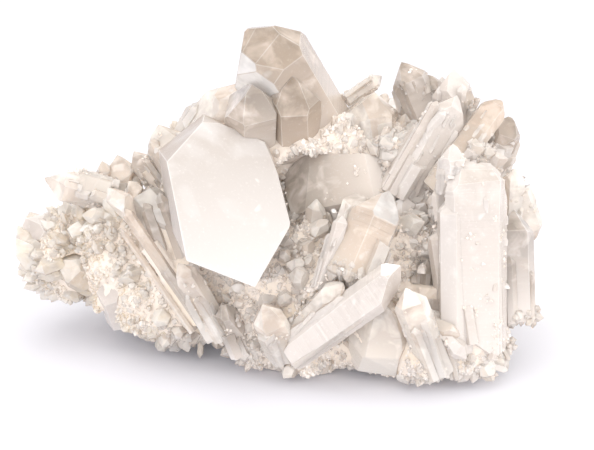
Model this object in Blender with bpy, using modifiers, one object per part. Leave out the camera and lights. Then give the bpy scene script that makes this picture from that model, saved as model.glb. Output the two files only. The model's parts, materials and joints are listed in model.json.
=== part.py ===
"""A quartz crystal cluster: one rough root mass of intergrown quartz, with single crystals standing out of it.

Every crystal is cleaved from a block by the planes that bound real quartz: six prism faces round the
c-axis, and six rhombohedral faces over them, whose normals stand 51.8 degrees from that axis.
A crystal keeps its own socket in the root mass, and a younger crystal is notched where an older one crosses it.

World axes: +X is to the right along the cluster, +Y to its back, +Z up. The origin is under the middle of
the cluster, on the surface that it rests on.
"""

import math
import random
from dataclasses import dataclass

import bmesh
import bpy
from mathutils import Matrix, Vector

MM = 0.001  # the tables below are in millimetres, and the scene is in metres
RHOMB_TILT = math.radians(51.8)  # from the c-axis to the normal of a rhombohedral face
SIDES = 6
JOINT_GAP = 0.3  # mm between two crystals, and between a crystal and its socket
WIDTH_SPREAD = 0.12  # how unequal the prism faces of one crystal are, as a share of its width
MINOR_SETBACK = 0.10  # every second rhombohedral face is larger, cut this share of the width deeper

ROOT_VOXEL = 1.4  # mm, the grain at which the lumps of the root mass are merged
ROOT_RELIEF = 2.5  # mm, how far its broken surface steps in and out
ROOT_GRAIN = 9.0  # mm across one broken facet
STUB_AREA = 120.0  # mm2 of the root mass to one stubby crystal that is part of it
STUB_WIDTHS = (5.0, 10.0)
STUB_LENGTHS = (6.0, 12.0)
STUB_LEAN = 0.55  # how far a stub leans away from the surface's normal
ROOT_KEPT = 0.17  # share of the triangles kept after the remesh
GROUND_SIZE = 200.0  # mm, the block below the rest plane that grinds the resting facets flat

COLOURS = {
    "milky": (0.90, 0.86, 0.83, 1.0),
    "clear": (0.86, 0.80, 0.75, 1.0),
    "smoky": (0.55, 0.46, 0.38, 1.0),
    "stained": (0.80, 0.70, 0.56, 1.0),
    "root": (0.84, 0.78, 0.72, 1.0),
}
ROUGHNESS = {"milky": 0.25, "clear": 0.12, "smoky": 0.10, "stained": 0.4, "root": 0.7}


@dataclass
class Crystal:
    """One crystal, in millimetres. Its c-axis runs from foot, inside the root mass, to tip."""

    name: str
    foot: tuple
    tip: tuple
    width: float  # across two opposite prism faces
    finish: str = "clear"
    roll: float = 0.0  # degrees about the axis; at 0 one prism face looks up, or forward on an upright one
    flat: float = 1.0  # thickness of a bladed crystal, as a share of its width
    lead: tuple = ()  # (face, mm): a termination face that has outgrown the others, and by how much
    growth: tuple = ()  # how far out each of the six prism faces has grown, as shares of half the width


GIANT_GROWTH = (1.0, 1.11, 0.90, 0.96, 1.07, 0.95)

# The oldest crystals come first: each later one is notched where it meets an earlier one.
FRONT_CRYSTALS = [
    Crystal("giant_milky_point", (-19, -6, 48), (-4, -86, 57), 33, "milky", -25, 1.0, (0, 52), GIANT_GROWTH),
    Crystal("crown_smoky_point", (10.5, 8, 57), (-11, -2, 95.5), 21, "smoky", 20, 1.0, (0, 3)),
    Crystal("back_left_striated", (-32, 8, 38), (-4, 4, 78), 20, "clear", 10, 0.8),
    Crystal("right_milky_block", (52, -36, 9), (51, -26, 66), 19, "milky", 10, 0.9, (2, 5)),
    Crystal("beige_slab", (27, -8, 47), (-9, -18, 51), 20, "smoky", 20, 0.9),
    Crystal("pale_twin_point", (-9, 0, 53), (-8, -12, 79.5), 15, "clear", 25),
    Crystal("dark_twin_point", (4, 0, 55), (3, -8, 81), 13, "smoky", 0),
    Crystal("upright_beige_point", (27, 4, 47), (23, 6, 76), 18, "clear", 15),
    Crystal("left_diagonal_prism", (-21, -30, 14), (-48, -20, 52), 8, "clear", 30, 1.0, (1, 2)),
    Crystal("front_diagonal_prism", (3, -40, 10), (34, -50, 38), 9.5, "milky", 20, 1.0, (2, 2)),
    Crystal("front_stub", (27, -34, 8), (28, -46, 27), 17, "clear", 0),
    Crystal("white_faced_prism", (19, -36, 29), (30, -26, 53), 13, "clear", 15),
    Crystal("left_brown_prism", (-29, -18, 25), (-39, -12, 55), 15, "smoky", 10),
    Crystal("left_stub", (-50, -4, 44), (-69, -6, 50), 10, "clear", 0, 1.0, (0, 2)),
    Crystal("ridge_blade", (33, -14, 45), (50, -4, 74), 12, "milky", 30, 0.6),
    Crystal("pocket_blade", (42, -16, 48), (63, -2, 72), 8, "clear", 30, 0.6),
    Crystal("pocket_rim_point", (60, 0, 50), (66, 0, 67), 8, "milky"),
    Crystal("slot_prism", (39, -36, 10), (42, -30, 40), 10, "smoky", 0),
    Crystal("window_prism", (66, -26, 14), (64, -22, 46), 9, "smoky", 0),
    Crystal("front_blade", (42, -44, 6), (32, -50, 33), 8, "clear", 0, 0.7),
    Crystal("block_left_point", (45, -30, 41), (46, -28, 66), 7, "milky", 15),
    Crystal("block_right_point", (57, -26, 37), (57, -24, 59), 6, "milky", 15),
    Crystal("far_right_blade", (63, -16, 35), (65, -16, 56), 7, "clear", 20, 0.7),
    Crystal("far_right_drop", (66, -12, 47), (72, -14, 32), 7, "clear", 0, 0.6),
    Crystal("slim_prism", (13, -36, 28), (22, -24, 52), 7, "clear", 10),
    Crystal("front_needle", (11, -38, 27), (17, -33, 47), 4, "milky"),
    Crystal("lower_diagonal_prism", (2, -38, 11), (17, -44, 32), 6, "clear", 20),
    Crystal("front_sliver", (46, -42, 4), (41, -48, 22), 4, "clear"),
    Crystal("centre_low_point", (1, -36, 9), (-5, -44, 26), 9, "clear", 10),
    Crystal("under_giant_prism", (-16, -34, 12), (-28, -34, 34), 6, "clear", 10),
    Crystal("under_giant_point", (-11, -34, 8), (-16, -38, 24), 6, "smoky", 10),
    Crystal("sharp_brown_point", (43, 8, 61), (34, 8, 81), 9, "smoky", 10),
    Crystal("sharp_second_point", (46, 10, 62), (42, 10, 77), 7, "smoky", 20),
    Crystal("white_top_point", (50, 5, 62), (49, 5, 80), 10, "milky", 15),
    Crystal("white_top_small", (51, 4, 64), (54, 0, 74), 5, "clear"),
    Crystal("skyline_sliver", (19, 14, 67), (30, 18, 74), 4, "clear"),
    Crystal("shoulder_point", (-28, 0, 47), (-38, 4, 64), 12, "clear", 10),
    Crystal("shoulder_small", (-35, 0, 44), (-43, 0, 56), 6, "clear"),
    Crystal("left_square_point", (-37, -14, 41), (-43, -16, 52), 8, "clear", 20),
    Crystal("left_skyline_point", (-45, 0, 41), (-48, 2, 55), 8, "clear", 10),
    Crystal("left_skyline_small", (-49, 0, 41), (-52, 0, 53), 5, "clear"),
    Crystal("left_knob", (-62, 0, 27), (-77, -2, 36), 10, "milky", 20),
    Crystal("left_low_point", (-60, -3, 20), (-77, -5, 18), 10, "stained", 10),
    Crystal("left_window_point", (-54, -8, 19), (-64, -16, 28), 8, "stained", 0),
    Crystal("tongue_point", (-47, -12, 8), (-49, -22, 24), 7, "milky", 0),
]

BACK_CRYSTALS = [
    Crystal("back_tall_point", (8, 20, 44), (14, 40, 66), 18, "clear", 10),
    Crystal("back_right_point", (36, 18, 40), (48, 36, 60), 15, "milky", 20),
    Crystal("back_right_low", (44, 20, 22), (60, 38, 26), 13, "clear", 10),
    Crystal("back_centre_low", (10, 26, 24), (14, 50, 30), 16, "milky", 10, 1.0, (0, 5)),
    Crystal("back_left_low", (-28, 22, 22), (-38, 44, 30), 14, "clear", 15),
    Crystal("back_left_high", (-24, 18, 42), (-30, 36, 58), 12, "clear", 0),
    Crystal("back_far_left", (-52, 12, 26), (-64, 26, 34), 10, "stained", 10),
    Crystal("back_side_blade", (56, 10, 40), (70, 20, 50), 9, "clear", 10, 0.6),
    Crystal("back_foot_point", (-8, 30, 10), (-12, 48, 14), 10, "stained", 10),
    Crystal("back_slim_point", (24, 22, 34), (30, 44, 46), 7, "clear", 10),
    Crystal("back_crest_point", (30, 14, 50), (36, 34, 66), 12, "clear", 20),
    Crystal("right_flank_point", (54, 6, 22), (71, 16, 26), 11, "milky", 10),
    Crystal("back_left_foot", (-46, 8, 22), (-58, 28, 14), 9, "stained", 10),
]

# (centre, half sizes) of the lumps that have grown together into the root mass.
ROOT_LUMPS = [
    ((-63, 0, 24), (11, 14, 13)),
    ((-46, -2, 25), (14, 20, 17)),
    ((-24, 2, 25), (20, 28, 22)),
    ((-19, 5, 45), (17, 18, 18)),
    ((4, -2, 20), (28, 36, 22)),
    ((8, 6, 48), (24, 20, 18)),
    ((32, -4, 22), (24, 32, 23)),
    ((34, 6, 48), (20, 18, 16)),
    ((52, -4, 38), (12, 22, 22)),
    ((40, -32, 10), (22, 14, 11)),
    ((6, -28, 11), (22, 12, 11)),
    ((-30, -18, 15), (18, 12, 11)),
    ((14, 22, 10), (22, 14, 11)),
    ((54, 4, 20), (10, 18, 14)),
]


def clear_scene():
    for obj in list(bpy.data.objects):
        bpy.data.objects.remove(obj)


def new_collection(name):
    made = bpy.data.collections.new(name)
    bpy.context.scene.collection.children.link(made)
    return made


def surface(finish):
    """A plain Principled material, made once for each finish."""
    found = bpy.data.materials.get(finish)
    if found:
        return found
    made = bpy.data.materials.new(finish)
    made.use_nodes = True
    shader = made.node_tree.nodes["Principled BSDF"]
    shader.inputs["Base Color"].default_value = COLOURS[finish]
    shader.inputs["Roughness"].default_value = ROUGHNESS[finish]
    shader.inputs["Metallic"].default_value = 0.0
    return made


def cleave(bm, point, normal):
    """Splits off what lies beyond the plane and closes the cut with one flat face."""
    everything = bm.verts[:] + bm.edges[:] + bm.faces[:]
    cut = bmesh.ops.bisect_plane(bm, geom=everything, plane_co=point, plane_no=normal, dist=1e-7, clear_outer=True)
    rim = [part for part in cut["geom_cut"] if isinstance(part, bmesh.types.BMEdge)]
    if rim:
        bmesh.ops.edgeloop_fill(bm, edges=rim)


def crystal_planes(crystal):
    """(point, normal) of each face, in metres, with the foot at the origin and the c-axis along +Z."""
    chance = random.Random(crystal.name)
    half = crystal.width / 2
    length = (Vector(crystal.tip) - Vector(crystal.foot)).length
    planes = []
    for side in range(SIDES):
        turn = math.tau * side / SIDES
        outward = Vector((math.cos(turn), math.sin(turn), 0))
        thinned = crystal.flat if side % 3 == 0 else 1.0
        grown = crystal.growth[side] if crystal.growth else 1 + chance.uniform(-WIDTH_SPREAD, WIDTH_SPREAD)
        reach = half * thinned * grown
        planes.append((outward * reach * MM, outward))
    for side in range(SIDES):
        turn = math.tau * side / SIDES
        outward = Vector((math.cos(turn), math.sin(turn), 0))
        normal = outward * math.sin(RHOMB_TILT) + Vector((0, 0, math.cos(RHOMB_TILT)))
        setback = crystal.width * (MINOR_SETBACK * (side % 2 == 0) + chance.uniform(0, 0.06))
        if crystal.lead and side == crystal.lead[0]:
            setback = crystal.lead[1]
        planes.append((Vector((0, 0, (length - setback) * MM)), normal))
    return planes


def crystal_mesh(crystal, name, grow=0.0):
    """The crystal's mesh, or with grow, in millimetres, the larger shape that cuts its socket."""
    length = (Vector(crystal.tip) - Vector(crystal.foot)).length + crystal.width
    bm = bmesh.new()
    bmesh.ops.create_cube(bm, size=1.0)
    bmesh.ops.scale(bm, vec=Vector((2 * crystal.width, 2 * crystal.width, length)) * MM, verts=bm.verts)
    bmesh.ops.translate(bm, vec=Vector((0, 0, length / 2 - grow)) * MM, verts=bm.verts)
    for point, normal in crystal_planes(crystal):
        cleave(bm, point + normal * grow * MM, normal)
    mesh = bpy.data.meshes.new(name)
    bm.to_mesh(mesh)
    bm.free()
    return mesh


def crystal_pose(crystal):
    """Stands the c-axis from foot to tip, with prism face 0 turned up, or to the front on an upright crystal."""
    axis = (Vector(crystal.tip) - Vector(crystal.foot)).normalized()
    guide = Vector((0, 0, 1)) if abs(axis.z) < 0.75 else Vector((0, -1, 0))
    first = (guide - axis * guide.dot(axis)).normalized()
    first.rotate(Matrix.Rotation(math.radians(crystal.roll), 3, axis))
    turned = Matrix((first, axis.cross(first), axis)).transposed().to_4x4()
    return Matrix.Translation(Vector(crystal.foot) * MM) @ turned


def add_object(name, mesh, collection, parent, finish=None):
    obj = bpy.data.objects.new(name, mesh)
    collection.objects.link(obj)
    obj.parent = parent
    if finish:
        mesh.materials.append(surface(finish))
    return obj


def add_crystal(crystal, collection, parent):
    obj = add_object(crystal.name, crystal_mesh(crystal, crystal.name), collection, parent, crystal.finish)
    obj.matrix_local = crystal_pose(crystal)
    return obj


def add_socket_cutter(crystal, collection, parent):
    """A crystal grown by the joint's gap, which never renders."""
    name = "socket_of_" + crystal.name
    obj = add_object(name, crystal_mesh(crystal, name, JOINT_GAP), collection, parent)
    obj.matrix_local = crystal_pose(crystal)
    obj.hide_render = True
    obj.display_type = "WIRE"
    return obj


def corners_in_world(obj):
    return [obj.matrix_world @ vertex.co for vertex in obj.data.vertices]


def add_ground_cutter(collection, parent):
    """A block under the rest plane. Where it meets the root mass it leaves the flat facets that the cluster rests on."""
    bm = bmesh.new()
    bmesh.ops.create_cube(bm, size=GROUND_SIZE * MM)
    bmesh.ops.translate(bm, vec=Vector((0, 0, -GROUND_SIZE / 2)) * MM, verts=bm.verts)
    mesh = bpy.data.meshes.new("ground")
    bm.to_mesh(mesh)
    bm.free()
    obj = add_object("ground", mesh, collection, parent)
    obj.hide_render = True
    obj.display_type = "WIRE"


def boxes_meet(first, second):
    """Whether two objects' world boxes overlap, so that a Boolean between them could do anything."""
    a, b = corners_in_world(first), corners_in_world(second)
    return all(
        min(p[axis] for p in a) < max(p[axis] for p in b) and min(p[axis] for p in b) < max(p[axis] for p in a)
        for axis in range(3)
    )


def cut_with(obj, cutter):
    boolean = obj.modifiers.new(cutter.name, "BOOLEAN")
    boolean.operation = "DIFFERENCE"
    boolean.object = cutter


def apply_and_keep_largest(obj):
    """Makes the modifiers' result the mesh, and drops crumbs that a cut has split off."""
    graph = bpy.context.evaluated_depsgraph_get()
    mesh = bpy.data.meshes.new_from_object(obj.evaluated_get(graph), depsgraph=graph)
    bm = bmesh.new()
    bm.from_mesh(mesh)
    bmesh.ops.remove_doubles(bm, verts=bm.verts, dist=1e-6)
    islands = []
    waiting = set(bm.faces)
    while waiting:
        island, edge_of_search = [], [waiting.pop()]
        while edge_of_search:
            face = edge_of_search.pop()
            island.append(face)
            for neighbour in (f for edge in face.edges for f in edge.link_faces if f in waiting):
                waiting.discard(neighbour)
                edge_of_search.append(neighbour)
        islands.append(island)
    islands.sort(key=lambda faces: sum(face.calc_area() for face in faces))
    crumbs = [face for island in islands[:-1] for face in island]
    bmesh.ops.delete(bm, geom=crumbs, context="FACES")
    bm.to_mesh(mesh)
    bm.free()
    obj.modifiers.clear()
    obj.data = mesh


def add_stubs(bm, centre, half_sizes, chance):
    """Stands short stout crystals all over one lump, half sunk into it."""
    area = math.tau * 2 * (sum(half_sizes) / 3) ** 2
    for _ in range(round(area / STUB_AREA)):
        outward = Vector([chance.gauss(0, 1) for _ in range(3)]).normalized()
        surface_point = Vector([c + h * o for c, h, o in zip(centre, half_sizes, outward)])
        normal = Vector([o / h for o, h in zip(outward, half_sizes)]).normalized()
        lean = Vector([chance.uniform(-STUB_LEAN, STUB_LEAN) for _ in range(3)])
        axis = (normal + lean).normalized()
        width = chance.uniform(*STUB_WIDTHS)
        foot = surface_point - axis * width
        tip = surface_point + axis * chance.uniform(*STUB_LENGTHS) * 0.5
        stub = Crystal(f"stub_{chance.random()}", tuple(foot), tuple(tip), width, roll=chance.uniform(0, 60))
        mesh = crystal_mesh(stub, "stub")
        mesh.transform(crystal_pose(stub))
        bm.from_mesh(mesh)
        bpy.data.meshes.remove(mesh)


def relief_texture(name, kind, size):
    texture = bpy.data.textures.new(name, kind)
    texture.noise_scale = size * MM
    return texture


def add_root_mass(collection, parent):
    """The lumps, merged by a voxel remesh and broken into facets by a cell pattern."""
    bm = bmesh.new()
    chance = random.Random("root mass")
    for centre, half_sizes in ROOT_LUMPS:
        lump = bmesh.ops.create_icosphere(bm, subdivisions=3, radius=1.0)["verts"]
        bmesh.ops.scale(bm, vec=Vector(half_sizes) * MM, verts=lump)
        bmesh.ops.translate(bm, vec=Vector(centre) * MM, verts=lump)
        add_stubs(bm, centre, half_sizes, chance)
    mesh = bpy.data.meshes.new("root_mass")
    bm.to_mesh(mesh)
    bm.free()
    root = add_object("root_mass", mesh, collection, parent, "root")
    merge = root.modifiers.new("merge_lumps", "REMESH")
    merge.mode = "VOXEL"
    merge.voxel_size = ROOT_VOXEL * MM
    facets = root.modifiers.new("broken_facets", "DISPLACE")
    facets.texture = relief_texture("broken_facets", "VORONOI", ROOT_GRAIN)
    facets.texture_coords = "LOCAL"
    facets.mid_level = 0.5
    facets.strength = ROOT_RELIEF * MM
    untangle = root.modifiers.new("untangle_overhangs", "REMESH")
    untangle.mode = "VOXEL"
    untangle.voxel_size = ROOT_VOXEL * MM
    thin_out = root.modifiers.new("fewer_triangles", "DECIMATE")
    thin_out.ratio = ROOT_KEPT
    return root


def stand_over_origin(stand, pieces):
    """Moves the cluster so that the middle of its bounding box is above the world's origin."""
    corners = [corner for obj in pieces for corner in corners_in_world(obj)]
    for axis in range(2):
        low = min(corner[axis] for corner in corners)
        high = max(corner[axis] for corner in corners)
        stand.location[axis] = -(low + high) / 2


def main():
    clear_scene()
    cluster = new_collection("quartz_crystal_cluster")
    cutters = new_collection("socket_cutters")
    stand = bpy.data.objects.new("cluster_origin", None)
    cluster.objects.link(stand)
    root = add_root_mass(cluster, stand)
    placed = []
    for crystal in FRONT_CRYSTALS + BACK_CRYSTALS:
        obj = add_crystal(crystal, cluster, stand)
        cutter = add_socket_cutter(crystal, cutters, stand)
        bpy.context.view_layer.update()
        for _, older_cutter in placed:
            if boxes_meet(obj, older_cutter):
                cut_with(obj, older_cutter)
        placed.append((obj, cutter))
    add_ground_cutter(cutters, stand)
    sockets = root.modifiers.new("sockets", "BOOLEAN")
    sockets.operation = "DIFFERENCE"
    sockets.operand_type = "COLLECTION"
    sockets.collection = cutters
    pieces = [root] + [obj for obj, _ in placed]
    for obj in pieces:
        apply_and_keep_largest(obj)
    stand_over_origin(stand, pieces)


main()
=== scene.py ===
# %% [markdown]
# # A quartz crystal cluster
#
# A quartz cluster is a mass of small crystals that have grown into each other, with a few larger ones
# standing free of it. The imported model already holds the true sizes: one rough root mass, and a plain closed
# solid for each large crystal. This lesson gives them what the eye looks for in real quartz: growth lines
# across the prism faces, worn corners, milky veils inside, iron stains in the hollows, and the sugary druse
# between them.

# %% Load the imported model
import json
import math
import random
from itertools import combinations

import bmesh
import bpy
import numpy as np
from mathutils import Matrix, Vector, noise


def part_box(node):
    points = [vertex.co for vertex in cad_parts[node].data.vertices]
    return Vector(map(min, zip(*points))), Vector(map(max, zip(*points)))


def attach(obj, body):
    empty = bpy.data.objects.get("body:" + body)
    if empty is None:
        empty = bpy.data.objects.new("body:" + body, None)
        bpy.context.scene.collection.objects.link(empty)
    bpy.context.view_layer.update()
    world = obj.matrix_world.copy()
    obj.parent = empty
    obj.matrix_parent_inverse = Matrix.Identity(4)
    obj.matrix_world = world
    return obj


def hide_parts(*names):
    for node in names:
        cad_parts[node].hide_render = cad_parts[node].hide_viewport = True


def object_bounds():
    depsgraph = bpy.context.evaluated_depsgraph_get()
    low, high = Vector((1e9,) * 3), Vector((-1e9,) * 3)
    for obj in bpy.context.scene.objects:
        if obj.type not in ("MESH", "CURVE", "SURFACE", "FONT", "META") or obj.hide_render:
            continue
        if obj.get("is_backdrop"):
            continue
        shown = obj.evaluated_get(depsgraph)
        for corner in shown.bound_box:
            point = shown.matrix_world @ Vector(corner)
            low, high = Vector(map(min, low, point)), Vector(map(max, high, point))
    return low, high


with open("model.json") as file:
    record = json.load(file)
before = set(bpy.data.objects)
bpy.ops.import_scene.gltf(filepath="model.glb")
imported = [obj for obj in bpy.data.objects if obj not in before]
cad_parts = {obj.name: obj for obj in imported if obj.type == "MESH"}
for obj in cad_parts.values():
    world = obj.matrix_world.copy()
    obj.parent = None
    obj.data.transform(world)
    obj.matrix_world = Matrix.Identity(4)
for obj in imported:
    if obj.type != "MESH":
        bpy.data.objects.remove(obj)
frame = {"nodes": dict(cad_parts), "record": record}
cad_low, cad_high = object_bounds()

MM = 0.001
ROOT = "root_mass"
UP = Vector((0, 0, 1))
NOISE_SEED = 4

noise.seed_set(NOISE_SEED)  # unseeded, noise_vector differs from run to run
slot_of = {part["node"]: part["material_slot"] for part in frame["record"]["subparts"]}
crystal_nodes = sorted(name for name in frame["nodes"] if name != ROOT)
print(len(crystal_nodes), "crystals stand in the root mass")

# %% [markdown]
# ## Camera
#
# The cluster lies on a pale sheet, seen from a little above with a long lens, which keeps its outline true.
# The middle of the model's box gives the point to look at, so that the view follows the model if it changes.

# %% Camera
LENS = 85
CAMERA_RISE = math.radians(18)
CAMERA_DISTANCE = 411 * MM
AIM = Vector((5.5, 5.7, 33)) * MM  # from the middle of the footprint

middle = (cad_low + cad_high) / 2
aim = Vector((middle.x, middle.y, cad_low.z)) + AIM
backwards = Vector((0, -math.cos(CAMERA_RISE), math.sin(CAMERA_RISE)))
camera = bpy.data.objects.new("camera", bpy.data.cameras.new("camera"))
camera.data.lens = LENS
camera.location = aim + backwards * CAMERA_DISTANCE
camera.rotation_mode = "QUATERNION"
camera.rotation_quaternion = (-backwards).to_track_quat("-Z", "Y")
camera.data.clip_start = 0.01
bpy.context.scene.collection.objects.link(camera)
bpy.context.scene.camera = camera
print("camera at", [round(x / MM) for x in camera.location], "mm")


# %% [markdown]
# ## Colours and nodes
#
# Colours are written as the sRGB hex values that a colour picker shows, and turned to the linear values that
# a shader works in. One helper adds a shader node: every finish below is a short list of calls to it.

# %% Colours and the node helper
def linear(hex_colour):
    """The linear colour of an sRGB hex value such as "#f2e8dc"."""
    channels = [int(hex_colour[start : start + 2], 16) / 255 for start in (1, 3, 5)]
    return [c / 12.92 if c <= 0.04045 else ((c + 0.055) / 1.055) ** 2.4 for c in channels] + [1.0]


def add_node(tree, kind, settings=None, **inputs):
    """Adds a shader node. Each input takes a value or another node's output.

    An input is named with _ for its spaces, or i and its number where the name isn't its own.
    """
    made = tree.nodes.new("ShaderNode" + kind)
    for name, value in (settings or {}).items():
        setattr(made, name, value)
    for name, value in inputs.items():
        numbered = name[0] == "i" and name[1:].isdigit()
        socket = made.inputs[int(name[1:]) if numbered else name.replace("_", " ")]
        if isinstance(value, bpy.types.NodeSocket):
            tree.links.new(value, socket)
        else:
            socket.default_value = value
    return made


def per(size_mm):
    """The scale at which a texture on Object coordinates repeats about every size_mm."""
    return 1 / (size_mm * MM)


# %% [markdown]
# ## Quartz
#
# Quartz is silica, IOR 1.544. Its faces are naturally glossy, so roughness stays low. What differs between
# crystals is how clear they are: tips are clearest, and milky veils of tiny bubbles thicken towards the foot.
# Volumes inside would be truer but render slowly and don't export, so one surface mixes transmission with
# a cloudy scattering under it.
#
# Five attributes on the mesh steer the mix. tipward is 0 at the foot and 1 at the tip. along is the distance
# up the c-axis in millimetres, for the growth lines, and prism_side marks the faces that have them. tone is
# a painted brightness of a crystal and its facets: it stands in for the reflections that each facet of a clear
# crystal shows of other things inside it, and lifts a few crystals out of their shade. The fifth marks what is
# painted white: the frost along knocked edges, which also stands in for their highlight, and the painted
# highlights of a few bright facets.

# %% The colour of quartz
TONE_RANGE = (0.8, 1.07)  # how bright the dullest and the brightest facets are
TONE_DEPTH = (1.35, 0.7)  # and how strong their colour is
FROST_AND_HIGHLIGHT_WHITE = "#fffcf8"  # white of frost, cracks and flecks, and of the painted highlights of edges and bright facets
RUST_MM = 7  # about how far apart patches of rust are
CRACK_MM = 5  # and healed cracks
FLECK_MM = 0.9  # and the bright flecks of small fractures
COLOURS = {"data_type": "RGBA"}  # for a Mix node, whose inputs 6 and 7 are the two colours


def quartz_colour(tree, place, tipward, milk, pale, deep, stain, cracks):
    """The colour of each point: pale where milky and deep where clear, with its rust, cracks and flecks, its
    painted tone, and the painted highlights of edges and bright facets.
    """
    colour = add_node(tree, "Mix", COLOURS, Factor=milk, i6=linear(deep), i7=linear(pale)).outputs[2]
    tone = add_node(tree, "Attribute", {"attribute_name": "tone"}).outputs["Fac"]
    value = add_node(tree, "MapRange", Value=tone, To_Min=TONE_RANGE[0], To_Max=TONE_RANGE[1])
    depth = add_node(tree, "MapRange", Value=tone, To_Min=TONE_DEPTH[0], To_Max=TONE_DEPTH[1])
    value, depth = value.outputs[0], depth.outputs[0]
    colour = add_node(tree, "HueSaturation", Color=colour, Value=value, Saturation=depth).outputs["Color"]
    if stain:
        rust = add_node(tree, "TexNoise", Vector=place, Scale=per(RUST_MM), Detail=6.0, Roughness=0.7)
        low = add_node(tree, "MapRange", Value=tipward, From_Max=0.9, To_Min=0.14, To_Max=-0.1)
        wet = add_node(tree, "Math", {"operation": "ADD"}, i0=rust.outputs["Fac"], i1=low.outputs[0])
        amount = add_node(tree, "MapRange", Value=wet.outputs[0], From_Min=0.48, From_Max=0.74, To_Max=0.7)
        rusty = add_node(tree, "Mix", COLOURS, Factor=amount.outputs[0], i6=colour, i7=linear(stain))
        colour = rusty.outputs[2]
    healed = add_node(
        tree, "TexNoise", {"noise_type": "RIDGED_MULTIFRACTAL", "normalize": True},
        Vector=place, Scale=per(CRACK_MM), Detail=6.0, Roughness=0.6, Distortion=0.6,
    )
    crack = add_node(
        tree, "MapRange", Value=healed.outputs["Fac"], From_Min=0.42, From_Max=0.7, To_Max=cracks
    )
    broken = add_node(tree, "TexNoise", Vector=place, Scale=per(FLECK_MM), Detail=4.0, Roughness=0.8)
    fleck = add_node(
        tree, "MapRange", Value=broken.outputs["Fac"], From_Min=0.57, From_Max=0.72, To_Max=cracks * 0.6
    )
    # The frost of knocked edges and the painted highlights of edges and bright facets turn white here.
    wear_and_highlight = add_node(tree, "Attribute", {"attribute_name": "wear_and_highlight"}).outputs["Fac"]
    inner = add_node(tree, "Math", {"operation": "MAXIMUM"}, i0=crack.outputs[0], i1=fleck.outputs[0])
    white = add_node(tree, "Math", {"operation": "MAXIMUM"}, i0=inner.outputs[0], i1=wear_and_highlight).outputs[0]
    return add_node(tree, "Mix", COLOURS, Factor=white, i6=colour, i7=linear(FROST_AND_HIGHLIGHT_WHITE)).outputs[2]


# %% The quartz material
QUARTZ_IOR = 1.544
LINES_PER_MM = 1.7  # real growth lines are finer, and these are as coarse as they need to show
PIT_MM = 1.1
VEIL_MM = 6.0
SCATTER_DEPTH = 2.0 * MM


def quartz_material(
    name, pale, deep, clarity, foot_milk, roughness=0.08, stain=None, veil_mm=VEIL_MM, pits=0.15, glow=0.4,
    cracks=0.8,
):
    """A finish of quartz. clarity is the most it lets through, and foot_milk how milky its foot is."""
    material = bpy.data.materials.new(name)
    material.use_nodes = True
    tree = material.node_tree
    tree.nodes.clear()
    place = add_node(tree, "TexCoord").outputs["Object"]
    tipward = add_node(tree, "Attribute", {"attribute_name": "tipward"}).outputs["Fac"]

    clouds = add_node(
        tree, "TexNoise", Vector=place, Scale=per(veil_mm), Detail=3.0, Roughness=0.55, Distortion=0.5
    )
    veil = add_node(tree, "MapRange", Value=clouds.outputs["Fac"], From_Min=0.38, From_Max=0.8, To_Max=0.8)
    foot = add_node(tree, "MapRange", Value=tipward, From_Max=0.95, To_Min=foot_milk, To_Max=0.0)
    milk = add_node(tree, "Math", {"operation": "MAXIMUM"}, i0=veil.outputs[0], i1=foot.outputs[0])
    milk = milk.outputs[0]
    clear_share = add_node(tree, "MapRange", Value=milk, To_Min=clarity, To_Max=clarity * 0.25)

    along = add_node(tree, "Attribute", {"attribute_name": "along"}).outputs["Fac"]
    side = add_node(tree, "Attribute", {"attribute_name": "prism_side"}).outputs["Fac"]
    lines = add_node(
        tree, "TexNoise", {"noise_dimensions": "1D"}, W=along, Scale=LINES_PER_MM, Detail=6.0, Roughness=0.7
    )
    ridged = add_node(tree, "Math", {"operation": "MULTIPLY"}, i0=lines.outputs["Fac"], i1=side)
    striae = add_node(tree, "Bump", Height=ridged.outputs[0], Strength=0.4, Distance=0.2 * MM).outputs[0]
    pitting = add_node(tree, "TexNoise", Vector=place, Scale=per(PIT_MM), Detail=3.0, Roughness=0.55)
    pitting = pitting.outputs["Fac"]
    bumps = add_node(tree, "Bump", Height=pitting, Strength=pits, Distance=0.12 * MM, Normal=striae)
    matt = add_node(
        tree, "MapRange", Value=pitting, From_Min=0.4, From_Max=0.75,
        To_Min=roughness, To_Max=roughness + 0.05,
    )

    shader = add_node(
        tree, "BsdfPrincipled", {"subsurface_method": "RANDOM_WALK"},
        Base_Color=quartz_colour(tree, place, tipward, milk, pale, deep, stain, cracks),
        Roughness=matt.outputs[0], IOR=QUARTZ_IOR, Transmission_Weight=clear_share.outputs[0],
        Subsurface_Weight=glow, Subsurface_Radius=(1.0, 1.0, 1.0), Subsurface_Scale=SCATTER_DEPTH,
        Normal=bumps.outputs[0],
    )
    add_node(tree, "OutputMaterial", Surface=shader.outputs[0])
    return material


# %% Finishes of the cluster
finishes = {
    # Full of bubbles: a soft white that hides what is behind it.
    "milky": quartz_material(
        "milky quartz", "#d9cdc3", "#ccbeb2", clarity=0.25, foot_milk=0.7, roughness=0.2,
        veil_mm=5, pits=0.03, cracks=0.7,
    ),
    # Cloudy at the foot, and clear enough at the tip to take the colour of what is behind.
    "clear": quartz_material(
        "translucent quartz", "#fbefe2", "#f6e4d3", clarity=0.7, foot_milk=0.6, cracks=0.9
    ),
    # Clear too, and brown where it is thick.
    "smoky": quartz_material(
        "smoky quartz", "#eee0d4", "#b5a492", clarity=0.65, foot_milk=0.9, roughness=0.12,
        pits=0.05, cracks=0.4,
    ),
    # Rust has crept over it from the foot.
    "stained": quartz_material(
        "iron stained quartz", "#fbefe1", "#f6e5d2", clarity=0.6, foot_milk=0.7, roughness=0.2,
        stain="#e2c797",
    ),
}
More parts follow.
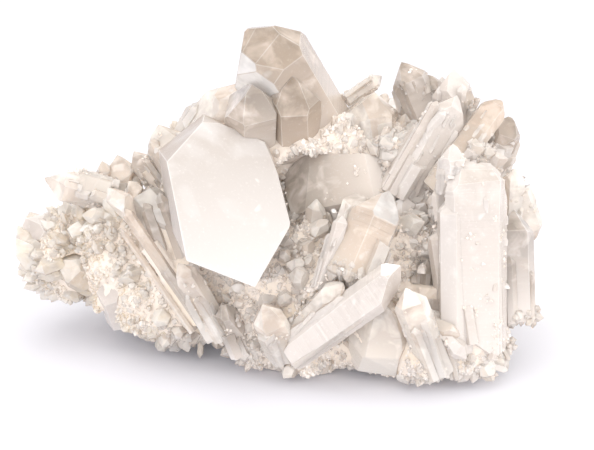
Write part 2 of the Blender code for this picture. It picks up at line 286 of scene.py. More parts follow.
# Etched by later fluids: nearly opaque, matt and even.
frosted = quartz_material(
    "frosted milky quartz", "#cbc5c1", "#ab9c90", clarity=0.06, foot_milk=0.9, roughness=0.3,
    veil_mm=12, pits=0.03, cracks=0.4,
)
# Grains of a millimetre: they glitter like sugar, and are too small to glow.
druse = quartz_material(
    "drusy quartz", "#f8ebde", "#f3e1cf", clarity=0.35, foot_milk=0.5, roughness=0.12, glow=0.1
)
white_druse = quartz_material(
    "white drusy quartz", "#f4ece4", "#f0e5da", clarity=0.3, foot_milk=0.5, roughness=0.15, glow=0.1
)
stained_druse = quartz_material(
    "iron stained drusy quartz", "#f8ebdb", "#f3e1cc", clarity=0.35, foot_milk=0.5, roughness=0.15,
    stain="#dcc091", glow=0.1,
)
print("made", len(bpy.data.materials), "materials")


# %% [markdown]
# ## The large crystals
#
# Each packed crystal is a plain solid with notches where older crystals cross it. Real crystals grow through
# each other without a gap, so the piece that stands for one starts from its convex hull, which fills the
# notches. The c-axis isn't stored, but it can be read from the faces: the prism faces stand along it, and the
# normals of the rhombohedral faces are 51.8 degrees from it. Any two prism faces give it as their cross
# product, so the best of all such products is taken.

# %% Read a crystal's shape and axis
RHOMB_COSINE = math.cos(math.radians(51.8))
FACE_MATCH = 0.02  # how close a face's cosine to the axis has to be
MERGE = 0.002 * MM
TOUCH = 1e-8  # how near a cut a corner counts as on it


def whole_crystal(node):
    """The crystal as a bmesh of few flat faces, with the notches of its neighbours filled."""
    form = bmesh.new()
    form.from_mesh(frame["nodes"][node].data)
    bmesh.ops.remove_doubles(form, verts=form.verts, dist=MERGE)
    bmesh.ops.delete(form, geom=form.edges[:], context="EDGES_FACES")
    hull = bmesh.ops.convex_hull(form, input=form.verts)
    inside = [part for part in hull["geom_interior"] if isinstance(part, bmesh.types.BMVert)]
    bmesh.ops.delete(form, geom=inside, context="VERTS")
    bmesh.ops.dissolve_limit(form, angle_limit=math.radians(1), verts=form.verts, edges=form.edges)
    bmesh.ops.recalc_face_normals(form, faces=form.faces)
    form.normal_update()
    return form


def find_c_axis(form):
    """The unit vector from foot to tip."""
    faces = [(face.normal.copy(), face.calc_area()) for face in form.faces]

    def area_that_fits(axis):
        cosines = [(normal.dot(axis), area) for normal, area in faces]
        return sum(area for c, area in cosines if min(abs(c), abs(c - RHOMB_COSINE)) < FACE_MATCH)

    products = [first.cross(second) for (first, _), (second, _) in combinations(faces, 2)]
    axes = [product.normalized() for product in products if product.length > 0.3]
    return max(axes + [-axis for axis in axes], key=area_that_fits)


def reach_along(form, direction):
    """The lowest and highest distances of the form along a direction."""
    distances = [vertex.co.dot(direction) for vertex in form.verts]
    return min(distances), max(distances)


def cleave(form, point, outward):
    """Takes off what lies beyond the plane and closes the cut with a flat face."""
    parts = form.verts[:] + form.edges[:] + form.faces[:]
    cut = bmesh.ops.bisect_plane(
        form, geom=parts, plane_co=point, plane_no=outward, dist=TOUCH, clear_outer=True
    )
    rim = [part for part in cut["geom_cut"] if isinstance(part, bmesh.types.BMEdge)]
    if len(rim) > 2:
        bmesh.ops.edgeloop_fill(form, edges=rim)
    form.normal_update()


# Broken corners, as the direction they face and the share of the crystal's reach in it that is gone.
BROKEN = {
    "giant_milky_point": [
        ((0.3, 0.1, -1), 0.06), ((1, 0, -0.25), 0.035), ((-0.7, 0, -0.7), 0.03), ((0.2, 0, 1), 0.03),
        ((0.8, 0, -0.8), 0.04), ((-1, 0, 0.35), 0.02), ((0.9, 0, 0.5), 0.03), ((-0.6, 0, 0.8), 0.03),
    ],
    "crown_smoky_point": [((-0.8, -0.2, 0.6), 0.05), ((-0.3, -0.7, 0.7), 0.07)],
    "beige_slab": [
        ((-0.15, -0.75, 0.65), 0.32), ((-0.7, -0.5, 0.5), 0.2), ((0.6, -0.5, 0.6), 0.12),
        ((0.1, -0.8, -0.6), 0.12),
    ],
}

hulls = {node: whole_crystal(node) for node in crystal_nodes}
c_axes = {node: find_c_axis(hulls[node]) for node in crystal_nodes}
for node, corners in BROKEN.items():
    for direction, share in corners:
        outward = Vector(direction).normalized()
        near, far = reach_along(hulls[node], outward)
        cleave(hulls[node], outward * (far - share * (far - near)), outward)
# The planes of each crystal's faces, as normals and their distances from the origin.
hull_planes = {}
for node, form in hulls.items():
    distances = [face.normal.dot(face.verts[0].co) for face in form.faces]
    hull_planes[node] = ([tuple(face.normal) for face in form.faces], distances)
print("the widest crystal has", len(hulls["giant_milky_point"].faces), "faces")

# %% [markdown]
# A real crystal has been knocked about, and it has grown in spurts. So its corners are cleaved off here and
# there, its edges carry a narrow bevel that catches light, and rings cut across the prism move in and out by
# a few hundredths of a millimetre, which shows as growth lines. All of it is geometry, so that an exported
# mesh keeps it.

# %% Wear and growth lines
EDGE_WEAR = 0.15 * MM
EDGE_FROST_AND_HIGHLIGHT = 0.3  # how white a knocked edge is painted: its frost, with a painted highlight on it
SHARP = math.radians(8)
LINE_SPACING = 0.9 * MM
LINE_DEPTH = 0.05 * MM
FACET_SPREAD = 0.35  # how much the facets of a crystal differ in tone
SAME_FACET = 0.97  # the cosine within which two normals are of one facet


def scatter(chance, spread):
    """A small random lean."""
    return Vector([chance.gauss(0, spread) for _ in range(3)])


def chip_corners(form, chance, count, depth):
    """Cleaves small corners off."""
    for _ in range(count):
        corner = chance.choice(form.verts[:])
        outward = (corner.normal + scatter(chance, 0.35)).normalized()
        cleave(form, corner.co - outward * depth * chance.uniform(0.3, 1.0), outward)


def wear_edges(form, width):
    """Bevels the sharp edges and paints the new faces a frosted white, which also stands in for their
    highlight.
    """
    wear_and_highlight = form.faces.layers.float.new("wear_and_highlight")
    sharp = [edge for edge in form.edges if edge.calc_face_angle(0) > SHARP]
    bevel = bmesh.ops.bevel(
        form, geom=sharp, offset=width, offset_type="OFFSET", segments=1, profile=0.5, affect="EDGES",
        clamp_overlap=True, material=-1,
    )
    for face in bevel["faces"]:
        face[wear_and_highlight] = EDGE_FROST_AND_HIGHLIGHT
    form.normal_update()


def cut_growth_lines(form, axis, chance, spacing, depth):
    """Cuts rings round the prism and moves each a little in or out. Tip faces stay flat."""
    height, top = reach_along(form, axis)
    while height < top:
        height += spacing * chance.uniform(0.4, 1.6)
        parts = form.verts[:] + form.edges[:] + form.faces[:]
        bmesh.ops.bisect_plane(form, geom=parts, plane_co=axis * height, plane_no=axis, dist=TOUCH)
    form.normal_update()
    seed = chance.uniform(0, 100)
    moves = {}
    for vertex in form.verts:
        if all(abs(face.normal.dot(axis)) < 0.1 for face in vertex.link_faces):
            level = vertex.co.dot(axis) / spacing
            moves[vertex] = vertex.normal * depth * 2 * noise.noise(Vector((level * 3.7, seed, 0)))
    for vertex, move in moves.items():
        vertex.co += move


def mark_growth(form, axis, tone, clear_end, reach, facet_tones_and_highlights=()):
    """Writes the attributes that the quartz material reads. Facets of one direction share a tone.

    The form is clearest at its clear_end, a direction, and reach is how far it goes along that. The last
    argument holds a normal, a tone and a painted white highlight for the facets that differ.
    """
    low, high = reach
    tipward = form.verts.layers.float.new("tipward")
    along = form.verts.layers.float.new("along")
    toned = form.faces.layers.float.new("tone")
    side = form.faces.layers.float.new("prism_side")
    wear_and_highlight = form.faces.layers.float.get("wear_and_highlight") or form.faces.layers.float.new("wear_and_highlight")
    for vertex in form.verts:
        vertex[tipward] = (vertex.co.dot(clear_end) - low) / (high - low)
        vertex[along] = vertex.co.dot(axis) / MM
    for face in form.faces:
        facet = random.Random(str([round(part * 3) for part in face.normal]))
        face[toned] = tone + FACET_SPREAD * facet.uniform(-1, 1)
        # A listed facet takes its own tone, and a painted white highlight where one is given.
        for direction, own_tone, highlight_white in facet_tones_and_highlights:
            if face.normal.dot(Vector(direction)) > SAME_FACET:
                face[toned] = own_tone
                face[wear_and_highlight] = highlight_white
        face[side] = float(abs(face.normal.dot(axis)) < 0.25)


# %% Put a piece in the scene
def add_piece(form, name, material, slot, node=None):
    """Makes the form a piece of the cluster, which stands for the node if one is given."""
    mesh = bpy.data.meshes.new(name)
    form.to_mesh(mesh)
    mesh.materials.append(material)
    piece = bpy.data.objects.new(name, mesh)
    bpy.context.scene.collection.objects.link(piece)
    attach(piece, "root")
    if node:
        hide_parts(node)
    return piece


# Tones that differ from the usual spread, from 0 for the dullest to 1 for the brightest. Above 1,
# left_brown_prism and slot_prism are painted lighter to lift them out of the shade of the giant and of the gap
# they stand in.
TONES = {
    "crown_smoky_point": 0.0, "pale_twin_point": 0.8, "dark_twin_point": 0.0, "beige_slab": 0.95,
    "upright_beige_point": 0.8, "sharp_brown_point": 0.7, "sharp_second_point": 0.7, "white_top_point": 0.6,
    "white_faced_prism": 0.2, "window_prism": 1.0, "left_brown_prism": 1.2, "back_left_striated": 0.7,
    "giant_milky_point": 0.8, "slot_prism": 1.1, "pocket_blade": 0.1, "pocket_rim_point": 0.2,
    "left_diagonal_prism": 1.0,
}
# Facets that differ from the rest of their crystal, as normal, tone and painted white. The white ones are
# painted highlights, standing in for the bright reflections of those facets; the giant's upward facets only
# take dull tones.
FACET_TONES_AND_HIGHLIGHTS = {
    "crown_smoky_point": [((-0.67, -0.72, 0.16), 1, 0.95), ((-0.48, -0.75, -0.46), 1, 0.95)],
    "white_faced_prism": [((0.54, -0.49, 0.69), 1, 0.9), ((0.92, -0.24, -0.32), 1, 0.9)],
    "front_diagonal_prism": [((0.66, -0.75, -0.05), 1, 0.9), ((-0.09, -0.25, 0.96), 1, 0.9)],
    "left_diagonal_prism": [((0.3, -0.85, 0.44), 1, 0.9)],
    "giant_milky_point": [((-0.58, -0.02, 0.81), 0.0, 0), ((0.4, 0.18, 0.9), 0.1, 0)],
}
# Crystals whose finish differs from the others in their slot. left_brown_prism and slot_prism take the paler
# clear finish, which paints them lighter against the shade they stand in.
OWN_FINISH = {
    "giant_milky_point": frosted, "pale_twin_point": finishes["smoky"], "left_brown_prism": finishes["clear"],
    "slot_prism": finishes["clear"], "pocket_rim_point": finishes["smoky"],
}
CLEAR_ENDS = {"giant_milky_point": UP}  # where a crystal is clearest, if not at its tip
USUAL_CHIPS = 6
CHIPS = {
    "giant_milky_point": 0, "right_milky_block": 14, "pale_twin_point": 0, "dark_twin_point": 0,
    "white_faced_prism": 2,
}
CHIP_DEPTH = 0.012  # of the crystal's size

for node in crystal_nodes:
    chance = random.Random(node)
    form, axis = hulls[node].copy(), c_axes[node]
    low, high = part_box(node)
    size = (high - low).length
    chip_corners(form, chance, CHIPS.get(node, USUAL_CHIPS), CHIP_DEPTH * size)
    wear_edges(form, EDGE_WEAR)
    cut_growth_lines(form, axis, chance, LINE_SPACING, LINE_DEPTH)
    tone = TONES.get(node, chance.uniform(0.6, 0.95))
    clear_end = CLEAR_ENDS.get(node, axis)
    mark_growth(form, axis, tone, clear_end, reach_along(form, clear_end), FACET_TONES_AND_HIGHLIGHTS.get(node, ()))
    add_piece(form, node + "_grown", OWN_FINISH.get(node, finishes[slot_of[node]]), slot_of[node], node)
    form.free()
print("grew", len(crystal_nodes), "large crystals")


# %% [markdown]
# ## Small crystals
#
# Thousands of crystals of a few millimetres fill the ground between the large ones. Modelling each would be
# slow, so a few are cleaved from blocks once, and copies of them are turned, scaled and set into one mesh.
# Each copy gets its own tone, so that neighbours differ.
#
# The finest druse shows only its tips, three rhombohedral faces each. A cube that stands on its corner has
# them at 54.7 degrees from its axis, close to the 51.8 degrees of quartz. Six faces are enough for a grain of
# a millimetre.

# %% Cleave small crystals
def make_pattern(form, slimness):
    """A form to copy: how many times its width it is long, its mesh and the tones of its facets."""
    mark_growth(form, UP, 0.0, UP, (0.0, slimness))
    mesh = bpy.data.meshes.new("small_crystal")
    form.to_mesh(mesh)
    form.free()
    return slimness, mesh, np.array([facet.value for facet in mesh.attributes["tone"].data])


def small_crystal(chance, slimness):
    """A crystal one unit wide along +Z, with its foot at the origin."""
    form = bmesh.new()
    bmesh.ops.create_cube(form, size=1.0)
    bmesh.ops.scale(form, vec=(2, 2, slimness + 1), verts=form.verts)
    bmesh.ops.translate(form, vec=(0, 0, (slimness + 1) / 2), verts=form.verts)
    turns = [math.tau * side / 6 for side in range(6)]
    for turn in turns:
        outward = Vector((math.cos(turn), math.sin(turn), 0))
        cleave(form, outward * chance.uniform(0.34, 0.56), outward)
    rise = RHOMB_COSINE / math.sin(math.acos(RHOMB_COSINE))
    for turn in turns:
        slope = Vector((math.cos(turn), math.sin(turn), rise)).normalized()
        cleave(form, Vector((0, 0, slimness - chance.uniform(0, 0.25))), slope)
    chip_corners(form, chance, 2, 0.22)
    return make_pattern(form, slimness)


def druse_grain(chance):
    """A near-cube on its corner, one unit wide, with its middle at the origin."""
    form = bmesh.new()
    bmesh.ops.create_cube(form, size=0.62)
    on_corner = Vector((1, 1, 1)).rotation_difference(UP).to_matrix()
    bmesh.ops.rotate(form, matrix=on_corner, verts=form.verts)
    bmesh.ops.scale(form, vec=(1, chance.uniform(0.7, 1), chance.uniform(0.8, 1.3)), verts=form.verts)
    return make_pattern(form, 0.5)


def crystal_set(name, slimnesses, count):
    """Patterns of each slimness, count of each."""
    return [small_crystal(random.Random(f"{name} {s} {n}"), s) for s in slimnesses for n in range(count)]


patterns = crystal_set("small", (0.9, 1.3, 1.9, 2.8, 4.2), 4)
blocky, slim = patterns[:12], patterns[8:]
long_patterns = crystal_set("long", (2, 3, 4.5, 6.5, 9), 3)
grains = [druse_grain(random.Random(f"grain {n}")) for n in range(4)]
print("cleaved", len(patterns), "patterns of about", len(patterns[0][1].polygons), "faces")


# %% Set copies on a surface
CRYSTAL_TONES = (0.55, 1.1)


def plant(form, pattern, foot, axis, width, chance, stretches=(0.8, 1.25), tone_range=CRYSTAL_TONES):
    """Adds a copy of a small crystal that stands at foot along axis."""
    _, mesh, tones = pattern
    copy = mesh.copy()
    copy.attributes["tone"].data.foreach_set("value", tones + chance.uniform(*tone_range))
    aligned = noise.noise(foot / (12 * MM)) * math.tau + chance.gauss(0, 0.25)
    turn = Matrix.Rotation(aligned, 4, "Z")
    stand = axis.to_track_quat("Z", "Y").to_matrix().to_4x4()
    size = Matrix.Diagonal((width, width, width * chance.uniform(*stretches), 1))
    copy.transform(Matrix.Translation(foot) @ stand @ size @ turn)
    form.from_mesh(copy)
    bpy.data.meshes.remove(copy)


def depth_in_crystals(points, nodes):
    """How deep each point is inside one of the crystals, or below 0 outside them all."""
    deepest = np.full(len(points), -1.0)
    for node in nodes:
        normals, offsets = hull_planes[node]
        depth = (np.array(offsets) - points @ np.array(normals).T).min(axis=1)
        deepest = np.maximum(deepest, depth)
    return deepest


def skin_of(form):
    """The surface as triangles: corners, normal and area."""
    copy = form.copy()
    bmesh.ops.triangulate(copy, faces=copy.faces)
    skin = [([v.co.copy() for v in face.verts], face.normal.copy(), face.calc_area()) for face in copy.faces]
    copy.free()
    return skin


def spots_on(skin, count, chance):
    """Random places on a skin: a point and the surface's normal."""
    for corners, normal, _ in chance.choices(skin, [area for _, _, area in skin], k=count):
        shares = sorted((chance.random(), chance.random()))
        weights = (shares[0], shares[1] - shares[0], 1 - shares[1])
        yield sum((corner * w for corner, w in zip(corners, weights)), Vector()), normal


# Crystals whose faces stay clean.
BARE = [
    "giant_milky_point", "pale_twin_point", "dark_twin_point", "front_diagonal_prism", "left_diagonal_prism",
    "crown_smoky_point", "window_prism", "white_faced_prism", "tongue_point", "front_stub",
    "left_square_point", "left_window_point", "left_brown_prism",
]
CLEAN_MARGIN = 0.8 * MM
CLEAN_FRONT = 14 * MM  # nothing tall grows so near in front of them
TALL = 4.5 * MM  # the length from which a crystal counts as tall
for node in BARE:
    normals, offsets = hull_planes[node]
    pushed = [offset + CLEAN_FRONT * max(0, -normal[1]) ** 0.5 for normal, offset in zip(normals, offsets)]
    hull_planes["clear of " + node] = (normals, pushed)
CLEARINGS = ["clear of " + node for node in BARE]
# The box that the tips stay in: the model's, with a little more or less on each side.
LOWEST_TIP = np.array(cad_low) + np.array([-1.5, 1.0, 2.0]) * MM
HIGHEST_TIP = np.array(cad_high) + np.array([1.5, 1.5, 0.5]) * MM


def grow(name, seeds, material, slot, tone_range=CRYSTAL_TONES):
    """Plants the seeds (pattern, foot, axis, width, outward) whose tips are free, as one piece."""
    tips = np.array(
        [foot + (axis * kind[0] * 0.9 + out * 0.45) * width for kind, foot, axis, width, out in seeds]
    )
    middles = np.array([foot + axis * width * kind[0] * 0.6 for kind, foot, axis, width, _ in seeds])
    margins = CLEAN_MARGIN + np.array([width * 0.4 for _, _, _, width, _ in seeds])
    short = np.array([kind[0] * width <= TALL for kind, _, _, width, _ in seeds])
    free = depth_in_crystals(tips, crystal_nodes) < 0
    for places in (middles, tips):
        free &= depth_in_crystals(places, BARE) < -margins
        free &= short | (depth_in_crystals(places, CLEARINGS) < -margins)
    free &= ((tips > LOWEST_TIP) & (tips < HIGHEST_TIP)).all(axis=1)
    planted = bmesh.new()
    chance = random.Random(name)
    for seed, is_free in zip(seeds, free):
        if is_free:
            plant(planted, *seed[:4], chance, tone_range=tone_range)
    add_piece(planted, name, material, slot)
    print(name, "holds", int(free.sum()), "crystals in", len(planted.faces), "faces")
    planted.free()


# %% [markdown]
# ### Parallel growth
#
# Quartz often grows as a bundle: smaller crystals stand against the sides of a larger one with nearly its
# c-axis, which breaks its prism into steps. Some hosts in this cluster carry a dozen, and the ridge and the
# milky block on the right are almost nothing else.

# %% Companions of the large crystals
COMPANIONS = {
    "right_milky_block": 60, "ridge_blade": 110, "beige_slab": 16, "white_top_point": 40,
    "block_left_point": 50, "block_right_point": 50, "pocket_rim_point": 40, "back_left_striated": 40,
    "left_low_point": 6,
}
USUAL_COMPANIONS = 22


def prism_of(node):
    """A crystal's axis, its lowest and highest points along that, its width and its side faces."""
    form, axis = hulls[node], c_axes[node]
    low, high = reach_along(form, axis)
    across = axis.orthogonal().normalized()
    reaches = [reach_along(form, direction) for direction in (across, axis.cross(across))]
    sides = [part for part in skin_of(form) if abs(part[1].dot(axis)) < 0.3]
    return axis, low, high, min(far - near for near, far in reaches), sides


def companion_seeds(node):
    """Small crystals against the sides of their host."""
    chance = random.Random("companions " + node)
    axis, low, high, width, sides = prism_of(node)
    seeds = []
    for spot, normal in spots_on(sides, COMPANIONS.get(node, USUAL_COMPANIONS), chance):
        own_width = max(0.9 * MM, width * chance.uniform(0.08, 0.36) * chance.uniform(0.5, 1))
        pattern = chance.choice(patterns)
        own_axis = (axis + normal * 0.06 + scatter(chance, 0.09)).normalized()
        length = own_width * pattern[0]
        if spot.dot(axis) + length * 0.3 < high - 0.1 * (high - low):
            foot = spot - own_axis * length * 0.7 - normal * own_width * chance.uniform(0.1, 0.3)
            seeds.append((pattern, foot, own_axis, own_width, normal))
    return seeds


# %% Steps on the large crystals
SMOOTH = {"beige_slab", "giant_milky_point", "pale_twin_point", "dark_twin_point", "tongue_point"}
STEPS_PER_CRYSTAL = 7
STEP_HEIGHT = (0.3, 1.3)  # in millimetres


def step_seeds(node):
    """Wide crystals sunk into the sides of their host, which show as flat steps on its faces."""
    chance = random.Random("steps " + node)
    axis, low, high, width, sides = prism_of(node)
    seeds = []
    for spot, normal in spots_on(sides, STEPS_PER_CRYSTAL, chance):
        own_width = width * chance.uniform(0.25, 0.65)
        own_axis = (axis + scatter(chance, 0.02)).normalized()
        length = (high - low) * chance.uniform(0.35, 0.9)
        centre = spot - normal * (own_width * 0.45 - chance.uniform(*STEP_HEIGHT) * MM)
        foot = centre + own_axis * (low - centre.dot(axis))
        pattern = min(long_patterns, key=lambda kind: abs(kind[0] * own_width - length))
        seeds.append((pattern, foot, own_axis, own_width, length / (pattern[0] * own_width), normal))
    return seeds


def grow_steps(slot):
    """The steps of one finish, as one piece. They may reach into their own host."""
    steps = bmesh.new()
    chance = random.Random("steps " + slot)
    for node in crystal_nodes:
        if slot_of[node] == slot and node not in SMOOTH:
            others = [other for other in crystal_nodes if other != node]
            for pattern, foot, axis, width, stretch, out in step_seeds(node):
                tip = np.array([foot + (axis * stretch * pattern[0] * 0.95 + out * 0.4) * width])
                if depth_in_crystals(tip, others)[0] < 0:
                    plant(steps, pattern, foot, axis, width, chance, (stretch, stretch), (0.6, 0.95))
    print(slot, "steps hold", len(steps.faces), "faces")
    add_piece(steps, slot + "_steps", finishes[slot], slot)
    steps.free()


for slot in finishes:
    grow_steps(slot)

# %% Crystals over the open feet
OPEN_FEET = ["white_faced_prism", "slot_prism", "window_prism"]  # crystals whose cut foot shows
FOOT_SHARE = 0.13  # how much of a crystal's length is overgrown
FOOT_SPOTS = 500


def grow_over_feet():
    """Small crystals that hide the foot of each crystal of OPEN_FEET."""
    crust = bmesh.new()
    chance = random.Random("feet")
    for node in OPEN_FEET:
        low, high = reach_along(hulls[node], c_axes[node])
        others = [other for other in crystal_nodes if other != node]
        for spot, normal in spots_on(skin_of(hulls[node]), FOOT_SPOTS, chance):
            if spot.dot(c_axes[node]) > low + FOOT_SHARE * chance.uniform(0.4, 1) * (high - low):
                continue
            lean = scatter(chance, 0.3)
            axis = (normal - c_axes[node] * 0.3 + lean).normalized()
            pattern = chance.choice(blocky)
            width = chance.uniform(1.1, 3.2) * MM
            half = axis * width * pattern[0] * 0.5
            if depth_in_crystals(np.array([spot + half]), others)[0] < 0:
                plant(crust, pattern, spot - half, axis, width, chance)
    print("the open feet carry", len(crust.faces), "faces of small crystals")
    add_piece(crust, "foot_crystals", finishes["clear"], "clear")
    crust.free()


grow_over_feet()

# %% Plant the companions
hosts = [node for node in crystal_nodes if node not in BARE]
for slot in finishes:
    seeds = [seed for node in hosts if slot_of[node] == slot for seed in companion_seeds(node)]
    grow(slot + "_companions", seeds, finishes[slot], slot)

# %% [markdown]
# ### Druse on the root mass
#
# On the root mass crystals point outwards from the cluster's heart, in bundles that share a lean. The left
# end is stained by iron, and the right end is whiter.

# %% Crystals and druse on the ground
ground = bmesh.new()
ground.from_mesh(frame["nodes"][ROOT].data)
bmesh.ops.remove_doubles(ground, verts=ground.verts, dist=MERGE)
ground.normal_update()
ground_skin = skin_of(ground)
heart = Vector((middle.x, middle.y + 8 * MM, 22 * MM))  # where the crystals of the ground point from
BUNDLE_MM = 11  # about how far apart bundles of one lean are


def stained_share(spot):
    """0 on the clean right of the cluster and 1 on its stained left end."""
    return min(1, max(0, (-18 * MM - spot.x) / (22 * MM) + noise.noise(spot / (8 * MM)) * 0.5))


def white_share(spot):
    """1 on the right end, where the small crystals are milky."""
    return min(1, max(0, (spot.x - 32 * MM) / (16 * MM) + noise.noise(spot / (9 * MM)) * 0.6))


def ground_seeds(name, count, widths, kinds, share, lean):
    """Seeds on the root mass. share(spot) is how likely a spot there is kept."""
    chance = random.Random("ground " + name)
    seeds = []
    for spot, normal in spots_on(ground_skin, count, chance):
        if chance.random() > share(spot):
            continue
        away = (spot - heart).normalized()
        bundle = noise.noise_vector(spot / (BUNDLE_MM * MM)) * 1.4
        axis = (normal * 0.8 + away * 0.5 + bundle + scatter(chance, lean)).normalized()
        width = widths[0] * (widths[1] / widths[0]) ** (chance.random() ** 1.6) * MM
        pattern = chance.choice(kinds)
        seeds.append((pattern, spot - axis * width * pattern[0] * 0.45, axis, width, Vector()))
    return seeds


def clean_share(spot):
    """What the stained and the milky crystals leave."""
    return (1 - stained_share(spot)) * (1 - 0.6 * white_share(spot))


# %% Plant the ground
GRAIN_TONES = (0.8, 1.1)


def field(name, count, widths, kinds, share, material, slot, lean=0.12):
    """Grows one kind of crystal from count spots. widths holds the least and the most in millimetres."""
    tones = GRAIN_TONES if kinds is grains else CRYSTAL_TONES
    grow(name, ground_seeds(name, count, widths, kinds, share, lean), material, slot, tones)


field("blocky_crystals", 7000, (1.5, 6.5), blocky, clean_share, finishes["clear"], "clear")
field("blocky_milky_crystals", 6000, (1.5, 6.5), blocky, white_share, finishes["milky"], "milky")
field("blocky_stained_crystals", 8000, (1.5, 6.0), blocky, stained_share, finishes["stained"], "stained")
field("slim_crystals", 2200, (0.8, 2.6), slim, clean_share, finishes["clear"], "clear")
field("slim_milky_crystals", 2200, (0.8, 2.8), slim, white_share, finishes["milky"], "milky")
field("slim_stained_crystals", 1600, (0.8, 2.4), slim, stained_share, finishes["stained"], "stained")
field("druse", 36000, (0.6, 1.9), grains, clean_share, druse, "root", 0.3)
field("white_druse", 40000, (0.6, 1.9), grains, white_share, white_druse, "root", 0.3)
field("stained_druse", 40000, (0.6, 1.9), grains, stained_share, stained_druse, "stained", 0.3)

# %% [markdown]
# Grains also dust the lower parts of the large crystals, in patches.

# %% Dust of grains on the large crystals
DUST_SPOTS = 300  # on each DUST_AREA, before those outside the patches are left out
DUST_AREA = 400 * MM * MM


def dust_seeds(node):
    """Grains on a crystal, fewer towards its tip."""
    chance = random.Random("dust " + node)
    axis, skin = c_axes[node], skin_of(hulls[node])
    low, high = reach_along(hulls[node], axis)
    area = sum(part[2] for part in skin)
    seeds = []
    for spot, normal in spots_on(skin, int(DUST_SPOTS * area / DUST_AREA), chance):
        tipward = (spot.dot(axis) - low) / (high - low)
        if noise.noise(spot / (4 * MM)) * 1.6 - 0.1 > tipward + chance.gauss(0, 0.05):
            width = chance.uniform(0.4, 1.2) * MM
            stand = (normal + scatter(chance, 0.4)).normalized()
            seeds.append((chance.choice(grains), spot, stand, width, normal))
    return seeds


grow("dusted_druse", [seed for node in hosts for seed in dust_seeds(node)], druse, "root")

# %% [markdown]
# ## The root mass
#
# Under the druse the root mass is broken vein quartz: grey-beige, granular, with rust in its hollows. A voxel
# remesh gives an even grain to displace, first into facets of a few millimetres and then into grit. A plug a
# little smaller than each crystal fills its socket, so that no dark gap opens round it.

# %% Vein quartz
def vein_quartz():
    """Broken quartz: it is rough, so its beige is dull, and it has rust in patches."""
    material = bpy.data.materials.new("broken vein quartz")
    material.use_nodes = True
    tree = material.node_tree
    tree.nodes.clear()
    place = add_node(tree, "TexCoord").outputs["Object"]
    grain = add_node(tree, "TexNoise", Vector=place, Scale=per(1.6), Detail=6.0, Roughness=0.7)
    patches = add_node(tree, "TexNoise", Vector=place, Scale=per(14), Detail=4.0, Roughness=0.6)
    rust = add_node(tree, "MapRange", Value=patches.outputs["Fac"], From_Min=0.50, From_Max=0.72, To_Max=0.6)
    beige = add_node(
        tree, "Mix", COLOURS, Factor=grain.outputs["Fac"], i6=linear("#decfbf"), i7=linear("#e9dccf")
    )
    colour = add_node(
        tree, "Mix", COLOURS, Factor=rust.outputs[0], i6=beige.outputs[2], i7=linear("#dec9a8")
    )
    bumps = add_node(tree, "Bump", Height=grain.outputs["Fac"], Strength=0.8, Distance=0.5 * MM)
    shader = add_node(
        tree, "BsdfPrincipled", Base_Color=colour.outputs[2], Roughness=0.55, IOR=QUARTZ_IOR,
        Subsurface_Weight=0.15, Subsurface_Radius=(1.0, 1.0, 1.0), Subsurface_Scale=1.0 * MM,
        Normal=bumps.outputs[0],
    )
    add_node(tree, "OutputMaterial", Surface=shader.outputs[0])
    return material


# %% The root mass
CORE_SHRINK = 1.1 * MM
USUAL_PLUG = 0.6  # how far up a crystal its plug goes
PLUGS = {"tongue_point": 0.95}
EVEN_GRAIN = 0.8 * MM
RELIEF = {"facets": (5.0, 0.4), "sugar": (1.8, 0.3)}  # size and depth in millimetres

for node in crystal_nodes:
    core = hulls[node].copy()
    low, high = reach_along(core, c_axes[node])
    cleave(core, c_axes[node] * (low + PLUGS.get(node, USUAL_PLUG) * (high - low)), c_axes[node])
    for vertex in core.verts:
        vertex.co -= vertex.normal * CORE_SHRINK
    plug = bpy.data.meshes.new("plug")
    core.to_mesh(plug)
    core.free()
    ground.from_mesh(plug)
    bpy.data.meshes.remove(plug)
rock = add_piece(ground, "vein_quartz_root", vein_quartz(), "root", ROOT)
grain = rock.modifiers.new("even_grain", "REMESH")
grain.mode = "VOXEL"
grain.voxel_size = EVEN_GRAIN
for label, (size_mm, depth_mm) in RELIEF.items():
    texture = bpy.data.textures.new(label, "VORONOI")
    texture.noise_scale = size_mm * MM
    relief = rock.modifiers.new(label, "DISPLACE")
    relief.texture = texture
    relief.texture_coords = "LOCAL"
    relief.mid_level = 1.0
    relief.strength = depth_mm * MM
print("the root mass is remeshed at", EVEN_GRAIN / MM, "mm")

# %% [markdown]
# ## Floor and light
#
# A white sheet with a bright surround: transparent crystals look like what is behind and above them, so they
# need something bright to show. The surround is a little brighter at its top, which draws the edges of the
# facets. Large softboxes in front and at the side fill the hollows between the crystals, small lamps put a
# glint on a facet here and there, and the tone curve lifts the shadows, as in a bright product shot.

# %% Floor and softboxes
floor_form = bmesh.new()
bmesh.ops.create_grid(floor_form, x_segments=1, y_segments=1, size=3.0)
floor_mesh = bpy.data.meshes.new("floor")
floor_form.to_mesh(floor_mesh)
floor_form.free()
floor = bpy.data.objects.new("floor", floor_mesh)
floor.location.z = cad_low.z
bpy.context.scene.collection.objects.link(floor)
floor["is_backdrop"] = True
sheet = bpy.data.materials.new("matt white paper")
sheet.use_nodes = True
sheet.node_tree.nodes["Principled BSDF"].inputs["Base Color"].default_value = linear("#d8d8df")
sheet.node_tree.nodes["Principled BSDF"].inputs["Roughness"].default_value = 0.9
floor_mesh.materials.append(sheet)


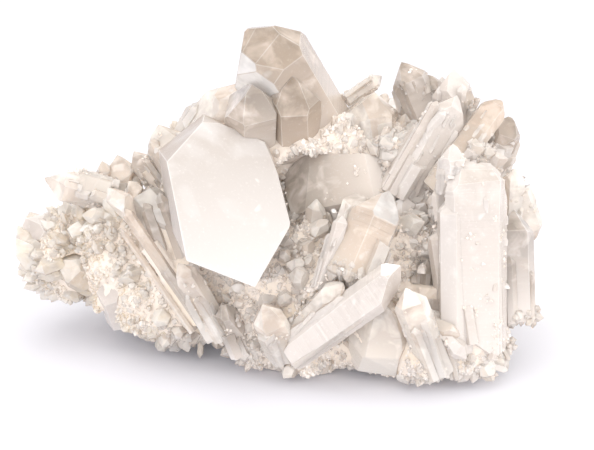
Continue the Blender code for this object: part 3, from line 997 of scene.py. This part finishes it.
def softbox(name, location_mm, size_mm, power):
    """A rectangle of light that faces the cluster."""
    lamp = bpy.data.objects.new(name, bpy.data.lights.new(name, "AREA"))
    lamp.data.shape = "RECTANGLE"
    lamp.data.size, lamp.data.size_y = [s * MM for s in size_mm]
    lamp.data.energy = power
    lamp.location = Vector(location_mm) * MM
    lamp.rotation_mode = "QUATERNION"
    lamp.rotation_quaternion = (aim - lamp.location).to_track_quat("-Z", "Y")
    bpy.context.scene.collection.objects.link(lamp)


softbox("top_softbox", (-120, 80, 620), (420, 420), power=0.6)
softbox("front_softbox", (-250, -680, 140), (600, 400), power=2.2)
softbox("side_softbox", (650, -260, 180), (450, 450), power=1.8)
GLINT_LAMPS = [(-520, -560, 620), (-120, -700, 420), (380, -620, 520), (620, -160, 300), (-620, 60, 380)]
for number, place_mm in enumerate(GLINT_LAMPS):
    softbox(f"glint_lamp_{number}", place_mm, (70, 70), power=0.35)
print("lit by", len(bpy.data.lights), "lamps")

# %% Surround and tone curve
WINDOW_SIDE = (0.25, 0.1, 0.95)  # where the surround is brightest
HIGH_KEY = 1.25  # the tone curve's gamma
world = bpy.data.worlds.new("white studio")
bpy.context.scene.world = world
world.use_nodes = True
sky = world.node_tree
sky.nodes.clear()
looking = add_node(sky, "TexCoord").outputs["Generated"]
facing = add_node(sky, "VectorMath", {"operation": "DOT_PRODUCT"}, i0=looking, i1=WINDOW_SIDE)
facing = facing.outputs["Value"]
shade = add_node(sky, "MapRange", Value=facing, From_Min=-0.5, From_Max=1.0, To_Min=1.27, To_Max=1.52)
warmth = add_node(sky, "MapRange", Value=facing, From_Max=0.6).outputs[0]
hue = add_node(sky, "Mix", COLOURS, Factor=warmth, i6=linear("#f3f4ff"), i7=linear("#fffcf8")).outputs[2]
sky_light = add_node(sky, "Background", Color=hue, Strength=shade.outputs[0])
add_node(sky, "OutputWorld", Surface=sky_light.outputs[0])
bpy.context.scene.view_settings.view_transform = "Standard"
bpy.context.scene.view_settings.gamma = HIGH_KEY

# %% Check the size
low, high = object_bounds()
{"cad": [list(cad_low), list(cad_high)], "visual": [list(low), list(high)]}
print("the looks reach", [round(gap / MM, 1) for gap in high - cad_high], "mm past the model's high corner")
